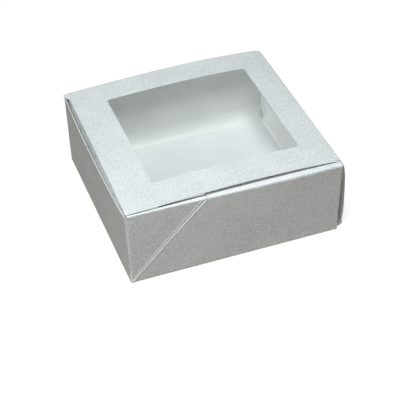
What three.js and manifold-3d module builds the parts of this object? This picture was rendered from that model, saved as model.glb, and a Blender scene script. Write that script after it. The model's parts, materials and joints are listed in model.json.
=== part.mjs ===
// Folding carton for cookies: a square tray of creased board with a hinged, windowed lid.
//
// Frame: millimetres, +Z up. The origin is at the middle of the base's underside.
// +X points to the wall that carries the lid, -X to the wall that the lid closes against,
// -Y to the front wall. Every panel is its own plate, parted from the next one at its crease.

import * as THREE from 'three';
import { mergeVertices } from 'three/addons/utils/BufferGeometryUtils.js';
import Module from 'manifold-3d';

const wasm = await Module();
wasm.setup();

// Overall sizes, outside to outside.
const BOX_LENGTH = 160;
const BOX_WIDTH = 160;
const WALL_HEIGHT = 60;

// Board and the clearances that every fit is made from.
const BOARD = 0.6;
const CREASE_GAP = 0.3;
const GLUE_GAP = 0.1;
const GLUE_THICKNESS = 0.2;

// Small die-cut reliefs where creases meet, and the soft corners of loose edges.
const CORNER_RELIEF = 1.5;
const BASE_CORNER_CUT = 2.0;

// Rolled front and back walls: an outer ply, a rounded rail on top and an inner ply.
const RAIL_RADIUS = 1.4;
const RAIL_LIP = 0.2;
const WALL_END_SETBACK = 1.2;
const INNER_WALL_END = 25;

// Floor flanges: the inner walls' lower edges, turned in over the base and sprung up from it.
const FLANGE_RISE = 6;
const FLANGE_REACH = 6.5;
const FLANGE_END_INSET = 3;

// Hems: the gussets' top edges, folded over the glued tabs and down inside.
const HEM_RADIUS = 1.0;
const HEM_DEPTH = 14;
const HEM_CLEARANCE = 0.3;

// Corner tabs of the closing wall, glued behind the gussets.
const CLOSING_TAB_INSET = 8;
const CLOSING_TAB_END = 13;
const TAB_GLUE_MARGIN = 5;

// Corner tabs of the hinge wall, slid loose into the rolled walls with play on both faces.
const HINGE_TAB_LENGTH = 45;
const HINGE_TAB_TAPER = 9;
const HINGE_TAB_PLAY = 1.2;

// Lid: a panel crowned along the box, with a window near its hinge and a tuck flap at its free end.
const LID_CROWN = 2.6;
const LID_FRONT_INSET = 1.7;
const LID_BACK_INSET = 0.2;
const LID_CORNER_RADIUS = 2.0;
const LID_BORDER_HINGE = 20.7;
const LID_BORDER_FREE = 26.2;
const LID_BORDER_FRONT = 25.5;
const LID_BORDER_BACK = 22.4;
const WINDOW_CORNER_RADIUS = 3;
const CROWN_STEPS = 24;

const TUCK_DEPTH = 22;
const TUCK_CLEARANCE = 0.8;
const TUCK_END_INSET = 1.2;
const TUCK_TAPER = 4;
const TUCK_CORNER_RADIUS = 9;
const TUCK_LEAN_DEGREES = 6;

// Window film and the ring of glue that holds it under the lid.
const FILM_THICKNESS = 0.2;
const FILM_LAP = 10;
const FILM_CORNER_RADIUS = 5;
const FILM_GLUE_INSET = 3;
const FILM_GLUE_WIDTH = 4;

const CURVE_STEPS = 6;

// Places that several panels share.
const HALF_LENGTH = BOX_LENGTH / 2;
const HALF_WIDTH = BOX_WIDTH / 2;
const PANEL_FOOT = BOARD + CREASE_GAP;
const PANEL_TOP = WALL_HEIGHT - CREASE_GAP;
const RAIL_WIDTH = 3 * BOARD + 2 * HINGE_TAB_PLAY;
const RAIL_FOOT = WALL_HEIGHT - RAIL_RADIUS - RAIL_LIP;
const ROLLED_PLY_TOP = RAIL_FOOT - CREASE_GAP;
const INNER_WALL_START = -HALF_LENGTH + INNER_WALL_END;
const INNER_WALL_STOP = HALF_LENGTH - BOARD - CREASE_GAP;
const FLANGE_TOP = PANEL_FOOT + FLANGE_RISE;
const CLOSING_TAB_DEPTH = BOARD + GLUE_GAP + GLUE_THICKNESS + GLUE_GAP;
const CLOSING_TAB_TOP = WALL_HEIGHT - BOARD - CREASE_GAP;
const HEM_WIDTH = CLOSING_TAB_DEPTH + BOARD + HEM_CLEARANCE + BOARD;
const HEM_FOOT = WALL_HEIGHT - HEM_RADIUS - RAIL_LIP;
const RAIL_START = -HALF_LENGTH + WALL_HEIGHT - PANEL_FOOT + CREASE_GAP;
const HINGE_TAB_DEPTH = BOARD + HINGE_TAB_PLAY;
const LID_UNDERSIDE = WALL_HEIGHT + CREASE_GAP;
const LID_TOP = LID_UNDERSIDE + BOARD + LID_CROWN;
const LID_FREE_EDGE = -HALF_LENGTH + BOARD + TUCK_CLEARANCE + BOARD;
const LID_HINGE_EDGE = HALF_LENGTH - CREASE_GAP;
const LID_FRONT_EDGE = -HALF_WIDTH + LID_FRONT_INSET;
const LID_BACK_EDGE = HALF_WIDTH - LID_BACK_INSET;

const SILVER_BOARD = { color: 0xc6cccc, roughness: 0.5, metalness: 0.25 };
const WHITE_BOARD = { color: 0xe4e9e8, roughness: 0.75, metalness: 0.0 };
const CLEAR_FILM = { color: 0xf2f7f7, roughness: 0.08, metalness: 0.0, transparent: true, opacity: 0.18 };
const DRIED_GLUE = { color: 0xe9e2cc, roughness: 0.4, metalness: 0.0 };

// A closed outline through the points [x, y, radius], with its corners softened by their radius.
function outline(points, ShapeClass = THREE.Shape) {
  const shape = new ShapeClass();
  points.forEach(([x, y, radius = 0], index) => {
    const corner = new THREE.Vector2(x, y);
    const before = points[(index + points.length - 1) % points.length];
    const after = points[(index + 1) % points.length];
    const toBefore = new THREE.Vector2(before[0], before[1]).sub(corner).normalize();
    const toAfter = new THREE.Vector2(after[0], after[1]).sub(corner).normalize();
    const start = corner.clone().addScaledVector(toBefore, radius);
    const end = corner.clone().addScaledVector(toAfter, radius);
    if (index === 0) {
      shape.moveTo(start.x, start.y);
    } else {
      shape.lineTo(start.x, start.y);
    }
    if (radius > 0) {
      shape.quadraticCurveTo(corner.x, corner.y, end.x, end.y);
    }
  });
  shape.closePath();
  return shape;
}

function rectangle(x0, y0, x1, y1, radius = 0, ShapeClass = THREE.Shape) {
  const points = [[x0, y0, radius], [x1, y0, radius], [x1, y1, radius], [x0, y1, radius]];
  return outline(points, ShapeClass);
}

function extrude(shape, depth) {
  return new THREE.ExtrudeGeometry(shape, { depth, bevelEnabled: false, curveSegments: CURVE_STEPS });
}

// A flat plate lying level, drawn in X and Y, from z0 upwards.
function levelPlate(shape, z0, depth) {
  return extrude(shape, depth).translate(0, 0, z0);
}

// A plate standing along X, drawn in X and Z, between y0 and y0 + depth.
function sidePlate(shape, y0, depth) {
  return extrude(shape, depth).rotateX(Math.PI / 2).translate(0, y0 + depth, 0);
}

// A plate or bar standing along Y, drawn in Y and Z, between x0 and x0 + depth.
function endPlate(shape, x0, depth) {
  const turn = new THREE.Matrix4().makeBasis(
    new THREE.Vector3(0, 1, 0),
    new THREE.Vector3(0, 0, 1),
    new THREE.Vector3(1, 0, 0),
  );
  return extrude(shape, depth).applyMatrix4(turn).translate(x0, 0, 0);
}

// A plate on the front side, seen from outside at a depth below the front face; the back side's twin
// is its mirror image.
function besideWall(shape, depthBelowFace, thickness, side) {
  const outer = HALF_WIDTH - depthBelowFace;
  const y0 = side < 0 ? -outer : outer - thickness;
  return sidePlate(shape, y0, thickness);
}

function toSolid(geometry) {
  const bare = geometry.clone();
  bare.deleteAttribute('normal');
  bare.deleteAttribute('uv');
  const welded = mergeVertices(bare);
  const vertProperties = new Float32Array(welded.attributes.position.array);
  const triVerts = new Uint32Array(welded.index.array);
  return new wasm.Manifold(new wasm.Mesh({ numProp: 3, vertProperties, triVerts }));
}

function toGeometry(solid) {
  const mesh = solid.getMesh();
  const geometry = new THREE.BufferGeometry();
  geometry.setAttribute('position', new THREE.BufferAttribute(new Float32Array(mesh.vertProperties), 3));
  geometry.setIndex(new THREE.BufferAttribute(new Uint32Array(mesh.triVerts), 1));
  geometry.computeVertexNormals();
  return geometry;
}

function piece(name, geometry, finish) {
  const mesh = new THREE.Mesh(geometry, new THREE.MeshStandardMaterial(finish));
  mesh.name = name;
  return mesh;
}

// Height of the lid's crown over its two creased ends.
function crownAt(x) {
  const middle = (LID_FREE_EDGE + LID_HINGE_EDGE) / 2;
  const reach = (LID_HINGE_EDGE - LID_FREE_EDGE) / 2;
  const share = (x - middle) / reach;
  return LID_CROWN * (1 - share * share);
}

// A crowned sheet that runs the lid's whole length, between two heights over the lid's underside.
function crownedSheet(bottom, top) {
  const shape = new THREE.Shape();
  const step = (LID_HINGE_EDGE - LID_FREE_EDGE) / CROWN_STEPS;
  shape.moveTo(LID_FREE_EDGE, LID_UNDERSIDE + bottom);
  for (let index = 1; index <= CROWN_STEPS; index += 1) {
    const x = LID_FREE_EDGE + index * step;
    shape.lineTo(x, LID_UNDERSIDE + bottom + crownAt(x));
  }
  for (let index = CROWN_STEPS; index >= 0; index -= 1) {
    const x = LID_FREE_EDGE + index * step;
    shape.lineTo(x, LID_UNDERSIDE + top + crownAt(x));
  }
  shape.closePath();
  return sidePlate(shape, -HALF_WIDTH, BOX_WIDTH);
}

// The part of a crowned sheet inside a plan outline.
function crownedPiece(plan, bottom, top) {
  const column = levelPlate(plan, 0, LID_TOP + BOARD);
  return toGeometry(toSolid(crownedSheet(bottom, top)).intersect(toSolid(column)));
}

const WINDOW = {
  x0: LID_FREE_EDGE + LID_BORDER_FREE,
  x1: LID_HINGE_EDGE - LID_BORDER_HINGE,
  y0: LID_FRONT_EDGE + LID_BORDER_FRONT,
  y1: LID_BACK_EDGE - LID_BORDER_BACK,
};

// The window's outline, grown by a margin on every side.
function windowOutline(margin, radius, ShapeClass) {
  return rectangle(
    WINDOW.x0 - margin,
    WINDOW.y0 - margin,
    WINDOW.x1 + margin,
    WINDOW.y1 + margin,
    radius,
    ShapeClass,
  );
}

function lidPanel() {
  const plan = rectangle(
    LID_FREE_EDGE,
    LID_FRONT_EDGE,
    LID_HINGE_EDGE,
    LID_BACK_EDGE,
    LID_CORNER_RADIUS,
  );
  plan.holes.push(windowOutline(0, WINDOW_CORNER_RADIUS, THREE.Path));
  return crownedPiece(plan, 0, BOARD);
}

function filmGlue() {
  const outer = FILM_GLUE_INSET + FILM_GLUE_WIDTH;
  const plan = windowOutline(outer, FILM_CORNER_RADIUS);
  plan.holes.push(windowOutline(FILM_GLUE_INSET, FILM_CORNER_RADIUS, THREE.Path));
  return crownedPiece(plan, -GLUE_GAP - GLUE_THICKNESS, -GLUE_GAP);
}

function windowFilm() {
  const top = -GLUE_GAP - GLUE_THICKNESS - GLUE_GAP;
  return crownedPiece(windowOutline(FILM_LAP, FILM_CORNER_RADIUS), top - FILM_THICKNESS, top);
}

// The tuck flap hangs from the inner corner of the lid's free crease and leans into the box.
function tuckFlap() {
  const top = -CREASE_GAP;
  const reach = HALF_WIDTH - HEM_WIDTH - TUCK_END_INSET;
  const shape = outline([
    [-reach, top],
    [-reach + TUCK_TAPER, -TUCK_DEPTH, TUCK_CORNER_RADIUS],
    [reach - TUCK_TAPER, -TUCK_DEPTH, TUCK_CORNER_RADIUS],
    [reach, top],
  ]);
  const plate = endPlate(shape, -BOARD, BOARD);
  plate.rotateY(-THREE.MathUtils.degToRad(TUCK_LEAN_DEGREES));
  return plate.translate(LID_FREE_EDGE, 0, LID_UNDERSIDE);
}

function basePanel() {
  const x = HALF_LENGTH;
  const y = HALF_WIDTH;
  const cut = BASE_CORNER_CUT;
  const shape = outline([
    [-x + cut, -y], [x - cut, -y], [x, -y + cut], [x, y - cut],
    [x - cut, y], [-x + cut, y], [-x, y - cut], [-x, -y + cut],
  ]);
  return levelPlate(shape, 0, BOARD);
}

function endWall(reach, x0) {
  return endPlate(rectangle(-reach, PANEL_FOOT, reach, PANEL_TOP), x0, BOARD);
}

function closingWall() {
  return endWall(HALF_WIDTH - CLOSING_TAB_DEPTH, -HALF_LENGTH);
}

function hingeWall() {
  return endWall(HALF_WIDTH - HINGE_TAB_DEPTH, HALF_LENGTH - BOARD);
}

// The tab's lower edge runs beside the gusset's diagonal crease, so it lies on the gusset alone.
// The outline is drawn in from the tab's edges by a margin.
function closingTabOutline(margin) {
  const fold = -HALF_LENGTH + BOARD + CREASE_GAP;
  const low = PANEL_FOOT + CLOSING_TAB_INSET;
  const start = margin;
  const end = CLOSING_TAB_TOP - CLOSING_TAB_END - low - margin;
  const lift = margin * Math.SQRT2;
  const top = CLOSING_TAB_TOP - margin;
  return outline([
    [fold + start, low + start + lift],
    [fold + end, low + end + lift],
    [fold + end, top],
    [fold + start, top],
  ]);
}

function closingTab(side) {
  return besideWall(closingTabOutline(0), CLOSING_TAB_DEPTH, BOARD, side);
}

function gussetGlue(side) {
  return besideWall(closingTabOutline(TAB_GLUE_MARGIN), BOARD + GLUE_GAP, GLUE_THICKNESS, side);
}

function hingeTab(side) {
  const fold = HALF_LENGTH - BOARD - CREASE_GAP;
  const end = fold - HINGE_TAB_LENGTH;
  const low = PANEL_FOOT + CORNER_RELIEF;
  const top = ROLLED_PLY_TOP - CORNER_RELIEF;
  const shape = outline([
    [end, low + HINGE_TAB_TAPER, CORNER_RELIEF],
    [fold, low],
    [fold, top],
    [end, top - HINGE_TAB_TAPER, CORNER_RELIEF],
  ]);
  return besideWall(shape, HINGE_TAB_DEPTH, BOARD, side);
}

// The diagonal crease climbs at 45 degrees from the closing wall's foot.
const DIAGONAL_HALF_GAP = CREASE_GAP / Math.SQRT2;

function gusset(side) {
  const edge = -HALF_LENGTH + WALL_END_SETBACK;
  const low = PANEL_FOOT + WALL_END_SETBACK + DIAGONAL_HALF_GAP + CORNER_RELIEF;
  const top = HEM_FOOT - CREASE_GAP;
  const shape = outline([
    [edge, low],
    [edge + CORNER_RELIEF, low],
    [-HALF_LENGTH + top - PANEL_FOOT - DIAGONAL_HALF_GAP, top],
    [edge, top],
  ]);
  return besideWall(shape, 0, BOARD, side);
}

function outerWall(side) {
  const end = HALF_LENGTH - WALL_END_SETBACK;
  const start = -HALF_LENGTH + DIAGONAL_HALF_GAP + CORNER_RELIEF;
  const shape = outline([
    [start, PANEL_FOOT],
    [end, PANEL_FOOT],
    [end, ROLLED_PLY_TOP],
    [-HALF_LENGTH + ROLLED_PLY_TOP - PANEL_FOOT + DIAGONAL_HALF_GAP, ROLLED_PLY_TOP],
    [start, PANEL_FOOT + CORNER_RELIEF],
  ]);
  return besideWall(shape, 0, BOARD, side);
}

// Board bent over the top of a wall, seen from its end: a leg down the outer face and one inside.
function foldOver(side, width, radius, outerFoot, innerFoot) {
  const outer = HALF_WIDTH;
  const inner = HALF_WIDTH - width;
  return outline([
    [side * outer, outerFoot],
    [side * outer, WALL_HEIGHT, radius],
    [side * inner, WALL_HEIGHT, radius],
    [side * inner, innerFoot],
    [side * (inner + BOARD), innerFoot],
    [side * (inner + BOARD), WALL_HEIGHT - BOARD, radius - BOARD],
    [side * (outer - BOARD), WALL_HEIGHT - BOARD, radius - BOARD],
    [side * (outer - BOARD), outerFoot],
  ]);
}

function rail(side) {
  const section = foldOver(side, RAIL_WIDTH, RAIL_RADIUS, RAIL_FOOT, RAIL_FOOT);
  return endPlate(section, RAIL_START, HALF_LENGTH - WALL_END_SETBACK - RAIL_START);
}

function gussetHem(side) {
  const section = foldOver(side, HEM_WIDTH, HEM_RADIUS, HEM_FOOT, WALL_HEIGHT - HEM_DEPTH);
  const start = -HALF_LENGTH + WALL_END_SETBACK;
  return endPlate(section, start, RAIL_START - CREASE_GAP - start);
}

function innerWall(side) {
  const shape = rectangle(INNER_WALL_START, FLANGE_TOP + CREASE_GAP, INNER_WALL_STOP, ROLLED_PLY_TOP);
  return besideWall(shape, RAIL_WIDTH - BOARD, BOARD, side);
}

// A strip that slants from the inner wall's foot down to just above the base.
function floorFlange(side) {
  const crease = new THREE.Vector2(side * (HALF_WIDTH - RAIL_WIDTH), FLANGE_TOP);
  const tip = new THREE.Vector2(crease.x - side * FLANGE_REACH, PANEL_FOOT + BOARD);
  const slope = tip.clone().sub(crease).normalize();
  const below = new THREE.Vector2(-slope.y * side, slope.x * side).multiplyScalar(BOARD);
  const corners = [crease, tip, tip.clone().add(below), crease.clone().add(below)];
  const section = new THREE.Shape(corners);
  const start = INNER_WALL_START + FLANGE_END_INSET;
  return endPlate(section, start, INNER_WALL_STOP - FLANGE_END_INSET - start);
}

function rolledWall(word, side) {
  const wall = new THREE.Group();
  wall.name = `${word}_rolled_wall`;
  wall.add(
    piece(`${word}_wall`, outerWall(side), SILVER_BOARD),
    piece(`${word}_gusset`, gusset(side), SILVER_BOARD),
    piece(`${word}_gusset_hem`, gussetHem(side), SILVER_BOARD),
    piece(`${word}_rail`, rail(side), SILVER_BOARD),
    piece(`${word}_inner_wall`, innerWall(side), SILVER_BOARD),
    piece(`${word}_floor_flange`, floorFlange(side), SILVER_BOARD),
    piece(`${word}_gusset_glue`, gussetGlue(side), DRIED_GLUE),
  );
  return wall;
}

const tray = new THREE.Group();
tray.name = 'tray';
tray.add(
  piece('base_panel', basePanel(), WHITE_BOARD),
  piece('closing_wall', closingWall(), SILVER_BOARD),
  piece('closing_tab_front', closingTab(-1), SILVER_BOARD),
  piece('closing_tab_back', closingTab(1), SILVER_BOARD),
  piece('hinge_wall', hingeWall(), SILVER_BOARD),
  piece('hinge_tab_front', hingeTab(-1), SILVER_BOARD),
  piece('hinge_tab_back', hingeTab(1), SILVER_BOARD),
  rolledWall('front', -1),
  rolledWall('back', 1),
);

const lid = new THREE.Group();
lid.name = 'lid';
lid.add(
  piece('lid_panel', lidPanel(), SILVER_BOARD),
  piece('film_glue', filmGlue(), DRIED_GLUE),
  piece('window_film', windowFilm(), CLEAR_FILM),
  piece('tuck_flap', tuckFlap(), SILVER_BOARD),
);

const cookieBox = new THREE.Group();
cookieBox.name = 'cookie_box';
cookieBox.add(tray, lid);

export default cookieBox;
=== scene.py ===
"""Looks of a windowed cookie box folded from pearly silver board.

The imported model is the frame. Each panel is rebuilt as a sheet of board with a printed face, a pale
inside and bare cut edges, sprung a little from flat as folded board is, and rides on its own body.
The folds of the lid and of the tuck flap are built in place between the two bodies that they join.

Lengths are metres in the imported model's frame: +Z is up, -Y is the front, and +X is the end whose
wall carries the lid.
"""

import json
import logging
import math
from dataclasses import dataclass
from enum import Enum
from typing import NamedTuple, Optional, Sequence

import bpy
import numpy as np
from mathutils import Matrix, Vector


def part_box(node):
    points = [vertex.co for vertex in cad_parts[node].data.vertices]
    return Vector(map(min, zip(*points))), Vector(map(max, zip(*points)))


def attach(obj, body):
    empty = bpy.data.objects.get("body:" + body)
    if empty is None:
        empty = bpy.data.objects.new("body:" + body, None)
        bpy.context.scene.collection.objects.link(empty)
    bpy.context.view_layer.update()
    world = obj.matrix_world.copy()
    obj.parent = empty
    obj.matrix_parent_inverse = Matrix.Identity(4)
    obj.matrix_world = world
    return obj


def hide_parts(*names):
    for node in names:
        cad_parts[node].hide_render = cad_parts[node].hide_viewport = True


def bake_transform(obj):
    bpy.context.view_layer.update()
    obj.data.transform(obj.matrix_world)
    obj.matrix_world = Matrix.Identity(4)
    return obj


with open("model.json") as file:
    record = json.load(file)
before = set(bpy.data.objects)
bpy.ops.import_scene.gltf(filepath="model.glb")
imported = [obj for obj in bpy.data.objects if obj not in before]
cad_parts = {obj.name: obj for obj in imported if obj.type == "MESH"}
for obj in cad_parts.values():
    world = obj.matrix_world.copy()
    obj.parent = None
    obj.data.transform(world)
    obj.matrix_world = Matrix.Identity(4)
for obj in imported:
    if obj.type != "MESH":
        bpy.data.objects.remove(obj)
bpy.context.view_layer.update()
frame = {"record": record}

MM = 0.001
ROUNDING = 1e-9
RIGHT_ANGLE = math.pi / 2
DIAGONAL = math.sqrt(2.0)
UP = (0, 0, 1)
WHITE = (1.0, 1.0, 1.0)
UNIT = (0.0, 1.0)
NOISE_SPAN = (0.3, 0.7)
MIX_INPUTS = (0, 6, 7)
MIX_RESULT = 2
RANGE_INPUTS = ("From Min", "From Max", "To Min", "To Max")
FOOT_RUB = 0.25
FOOT_RUB_REACH = 2.0
HINGE_WALL_INSET = 1.6 * MM
# The attribute of rubbed print; on roll tops and curled corners it also carries a painted highlight.
WEAR = "wear"
LOG = logging.getLogger("cookie_box")

Array = np.ndarray
Colour = tuple[float, float, float]
Point = tuple[float, float, float]
Span = tuple[float, float]
Material = bpy.types.Material
Node = bpy.types.Node
NodeTree = bpy.types.NodeTree
Object = bpy.types.Object
Socket = bpy.types.NodeSocket


class Placed(Enum):
    """A choice of place on the carton, by the sign of its axis."""

    @property
    def word(self) -> str:
        """The place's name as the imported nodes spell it."""
        return self.name.lower()


class Side(Placed):
    """The two rolled walls, by the sign of their Y."""

    FRONT = -1
    BACK = 1


class End(Placed):
    """The two single-ply end walls, by the sign of their X."""

    CLOSING = -1
    HINGE = 1


class Face(Enum):
    """The three surfaces of a sheet of board, by material slot."""

    PRINT = 0
    INSIDE = 1
    CORE = 2


class Rim(Enum):
    """The four edges of a sheet's grid."""

    FIRST_ROW = 0
    LAST_ROW = 1
    FIRST_COLUMN = 2
    LAST_COLUMN = 3


class Wave(NamedTuple):
    """A wave around a loop: its share of the width, how often it comes, and its start in radians."""

    depth: float
    count: int
    start: float


class CreaseMark(NamedTuple):
    """One line of points along the diagonal crease.

    Its distance from the crease's middle is so many times the ridge's, so many times the groove's, and
    a little beyond. It is lifted from the board by a share of the ridge, and its print is worn by a
    share.
    """

    ridge: float
    groove: float
    beyond: float
    lift: float
    worn: float


WALL_CREASE = (
    CreaseMark(0, -1, 0.0 * MM, -0.7, 0.0),
    CreaseMark(0, 1, 0.0 * MM, -0.7, 0.0),
    CreaseMark(0, 1, 0.1 * MM, -0.3, 0.3),
    CreaseMark(1, 0, -0.2 * MM, 0.66, 0.9),
    CreaseMark(1, 0, 0.0 * MM, 1.0, 1.0),
    CreaseMark(1, 0, 0.2 * MM, 0.66, 0.8),
    CreaseMark(1, 0, 0.4 * MM, 0.16, 0.1),
    CreaseMark(1, 0, 0.8 * MM, 0.0, 0.0),
    CreaseMark(1, 0, 2.0 * MM, 0.0, 0.0),
)
GUSSET_CREASE = (
    CreaseMark(1, 0, 2.0 * MM, 0.0, 0.0),
    CreaseMark(1, 0, 0.8 * MM, 0.0, 0.0),
    CreaseMark(1, 0, 0.4 * MM, 0.1, 0.1),
    CreaseMark(1, 0, 0.2 * MM, 0.6, 0.7),
    CreaseMark(1, 0, 0.0 * MM, 1.0, 1.0),
    CreaseMark(1, 0, -0.2 * MM, 0.62, 0.9),
    CreaseMark(0, 1, 0.08 * MM, -0.2, 0.2),
    CreaseMark(0, 1, 0.0 * MM, -0.7, 0.0),
)


def ease(value: Array, low: float, high: float) -> Array:
    """A smooth step of a value, from 0 at low to 1 at high."""
    share = np.clip((np.asarray(value, float) - low) / (high - low), 0.0, 1.0)
    return share * share * (3.0 - 2.0 * share)


def between(first: Array, last: Array, share: Array) -> Array:
    """A value that is a share of the way from one to another."""
    return first + (last - first) * share


def fade(distance: Array, reach: float) -> Array:
    """A share that falls evenly from 1 at no distance to 0 at the reach."""
    return np.clip(1.0 - distance / reach, 0.0, 1.0)


def hump(value: Array, middle: float, reach: float) -> Array:
    """A share that is 1 at a middle and dies away on both sides of it."""
    return np.exp(-(((value - middle) / reach) ** 2))


def eased_steps(count: int, low: float, high: float) -> Array:
    """Shares from 0 to 1, spaced as a smooth step from low to high is."""
    share = ease(np.linspace(0.0, 1.0, count), low, high)
    return (share - share[0]) / (share[-1] - share[0])


def grid_of(x: Array, y: Array, z: Array) -> Array:
    """A grid of points from places that are spread out to one shape."""
    return np.stack(np.broadcast_arrays(x, y, z), axis=-1)


def foot_rub(z: Array, foot: float) -> Array:
    """How rubbed the print is around a wall's foot."""
    return FOOT_RUB * ease(-z, -FOOT_RUB_REACH * foot, 0.0)


def stations(marks: Sequence[float], step: float) -> Array:
    """Values that run through every mark, none further apart than a step.

    Args:
        marks: The values to pass through, in order.
        step: The widest gap between two values.

    Returns:
        The values, as an array.
    """
    values = [marks[0]]
    for low, high in zip(marks, marks[1:]):
        count = max(1, math.ceil(abs(high - low) / step - ROUNDING))
        values.extend(low + (high - low) * k / count for k in range(1, count + 1))
    return np.array(values)


def corner_arc(radius: float, chords: int) -> tuple[Array, Array]:
    """A quarter round that leaves one line and joins another at right angles.

    Args:
        radius: The radius of the quarter round.
        chords: The number of chords.

    Returns:
        The distance in from the second line and the distance in from the first, point by point.
    """
    turn = np.linspace(0.0, RIGHT_ANGLE, chords + 1)
    return radius * (1.0 - np.sin(turn)), radius * (1.0 - np.cos(turn))


def foot_section(foot: float, tail: float, top: float, step: float, chords: int) -> tuple[Array, Array]:
    """A wall's section, from a tail under the base around its foot and up to its top.

    Args:
        foot: The radius of the foot.
        tail: How far the wall goes on under the base.
        top: The height of the wall's top.
        step: The widest gap between two heights.
        chords: The number of chords around the foot.

    Returns:
        How far in the points lie and how high, as columns.
    """
    under, rise = corner_arc(foot, chords)
    straight = stations((foot, top), step)[1:]
    inward = np.concatenate([[foot + tail], under, np.zeros(len(straight))])
    height = np.concatenate([[0.0], rise, straight])
    return inward[:, None], height[:, None]


def rounded_loop(
    low: Sequence[float], high: Sequence[float], radius: float, counts: tuple[int, int]
) -> Array:
    """Points around a rectangle with round corners, from its front left, counterclockwise.

    Args:
        low: The least x and y.
        high: The greatest x and y.
        radius: The corners' radius.
        counts: The points along each side and around each corner.

    Returns:
        The points, as rows of x and y.
    """
    along, around = counts
    centres = [
        (high[0] - radius, low[1] + radius),
        (high[0] - radius, high[1] - radius),
        (low[0] + radius, high[1] - radius),
        (low[0] + radius, low[1] + radius),
    ]
    points = []
    start = np.array([low[0] + radius, low[1]])
    for quarter, centre in enumerate(centres):
        turns = RIGHT_ANGLE * (quarter - 1 + np.linspace(0.0, 1.0, around))
        arc = np.array(centre) + radius * np.stack([np.cos(turns), np.sin(turns)], axis=1)
        side = between(start, arc[0], np.linspace(0.0, 1.0, along, endpoint=False)[:, None])
        points.extend([side, arc[:-1]])
        start = arc[-1]
    return np.concatenate(points)


@dataclass(frozen=True)
class Carton:
    """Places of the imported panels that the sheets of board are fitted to."""

    half_length: float
    half_width: float
    height: float
    board: float
    lid_under: float

    @classmethod
    def from_frame(cls) -> "Carton":
        """The carton's leading sizes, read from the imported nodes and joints.

        Returns:
            The carton.
        """
        low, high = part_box("base_panel")
        joints = {joint["name"]: joint for joint in frame["record"]["behaviour"]["joints"]}
        return cls(
            half_length=high.x,
            half_width=high.y,
            height=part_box("front_rail")[1].z,
            board=high.z - low.z,
            lid_under=joints["lid_hinge"]["pos_m"][2],
        )


@dataclass(frozen=True)
class Spring:
    """How far the folded board has sprung from flat."""

    carton: Carton
    splay: float = 2.2 * MM
    splay_end: float = 60 * MM
    splay_power: float = 1.4
    bow: float = 2.15 * MM
    bow_power: float = 1.8
    bow_back: Span = (76 * MM, 2.0)
    bow_front: Span = (86 * MM, 3.6)
    bulge: float = 4.6 * MM
    bulge_rest: float = 0.2 * MM
    bulge_from: float = 40 * MM
    bulge_to: float = 76 * MM
    bulge_power: int = 5
    hinge_lean: float = 1.2 * MM
    crown: float = 2.45 * MM
    crown_skew: float = 0.35
    crown_gain: float = 0.6 * MM
    crown_reach: float = 81 * MM

    def rise(self, z: Array) -> Array:
        """The share of the walls' height that a place stands at."""
        return np.clip(z / self.carton.height, 0.0, 1.0)

    def side_out(self, x: Array, z: Array) -> Array:
        """How far a rolled wall's outer face stands out, most at its top towards the hinge end."""
        along = ease(x, -self.carton.half_length, self.splay_end)
        return self.splay * along * self.rise(z) ** self.splay_power

    def closing_out(self, y: Array, z: Array) -> Array:
        """How far the closing wall's outer face stands out, most at the middle of its top.

        Args:
            y: The places across the wall.
            z: Their heights.

        Returns:
            The distances.
        """
        reach, power = (np.where(y > 0.0, *pair) for pair in zip(self.bow_back, self.bow_front))
        along = 1.0 - np.clip(np.abs(y) / reach, 0.0, 1.0) ** power
        return self.bow * along * self.rise(z) ** self.bow_power

    def hinge_out(self, y: Array, z: Array) -> Array:
        """How far the hinge wall's outer face stands out, most beside the front corner.

        Args:
            y: The places across the wall.
            z: Their heights.

        Returns:
            The distances.
        """
        share = self.rise(z)
        swell = between(self.bulge_rest, self.bulge, ease(-y, self.bulge_from, self.bulge_to))
        return swell * (1.0 - np.abs(2.0 * share - 1.0) ** self.bulge_power) + self.hinge_lean * share

    def lid_rise(self, x: Array, y: Array) -> Array:
        """How far the lid's arch stands above its edges, most towards the hinge and at the back.

        Args:
            x: The places along the lid.
            y: The places across it.

        Returns:
            The heights.
        """
        height = self.crown + self.crown_gain * ease(y, -self.carton.half_width, self.carton.half_width)
        share = np.clip(x / self.crown_reach, -1.0, 1.0)
        return height * (1.0 - share**2) * (1.0 + self.crown_skew * share)


@dataclass(frozen=True)
class Palette:
    """The finished materials, ready to go onto pieces."""

    print_face: Material
    # A darker, warmer copy of print_face for the print inside the box: painted shade.
    shaded_rolled_face: Material
    inside_face: Material
    # A darker copy of inside_face for the box's floor: painted shade.
    shaded_floor_face: Material
    core_edge: Material
    film: Material
    glue: Material

    @property
    def board(self) -> list[Material]:
        """A sheet's materials, in the order of Face."""
        return [self.print_face, self.inside_face, self.core_edge]

    @property
    def shaded_rolled_board(self) -> list[Material]:
        """The materials of a sheet whose print looks into the box, that print in painted shade."""
        return [self.shaded_rolled_face, self.inside_face, self.core_edge]

    @property
    def floor_board(self) -> list[Material]:
        """The base's materials, with the box's floor, in painted shade, on the unprinted face."""
        return [self.print_face, self.shaded_floor_face, self.core_edge]


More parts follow.
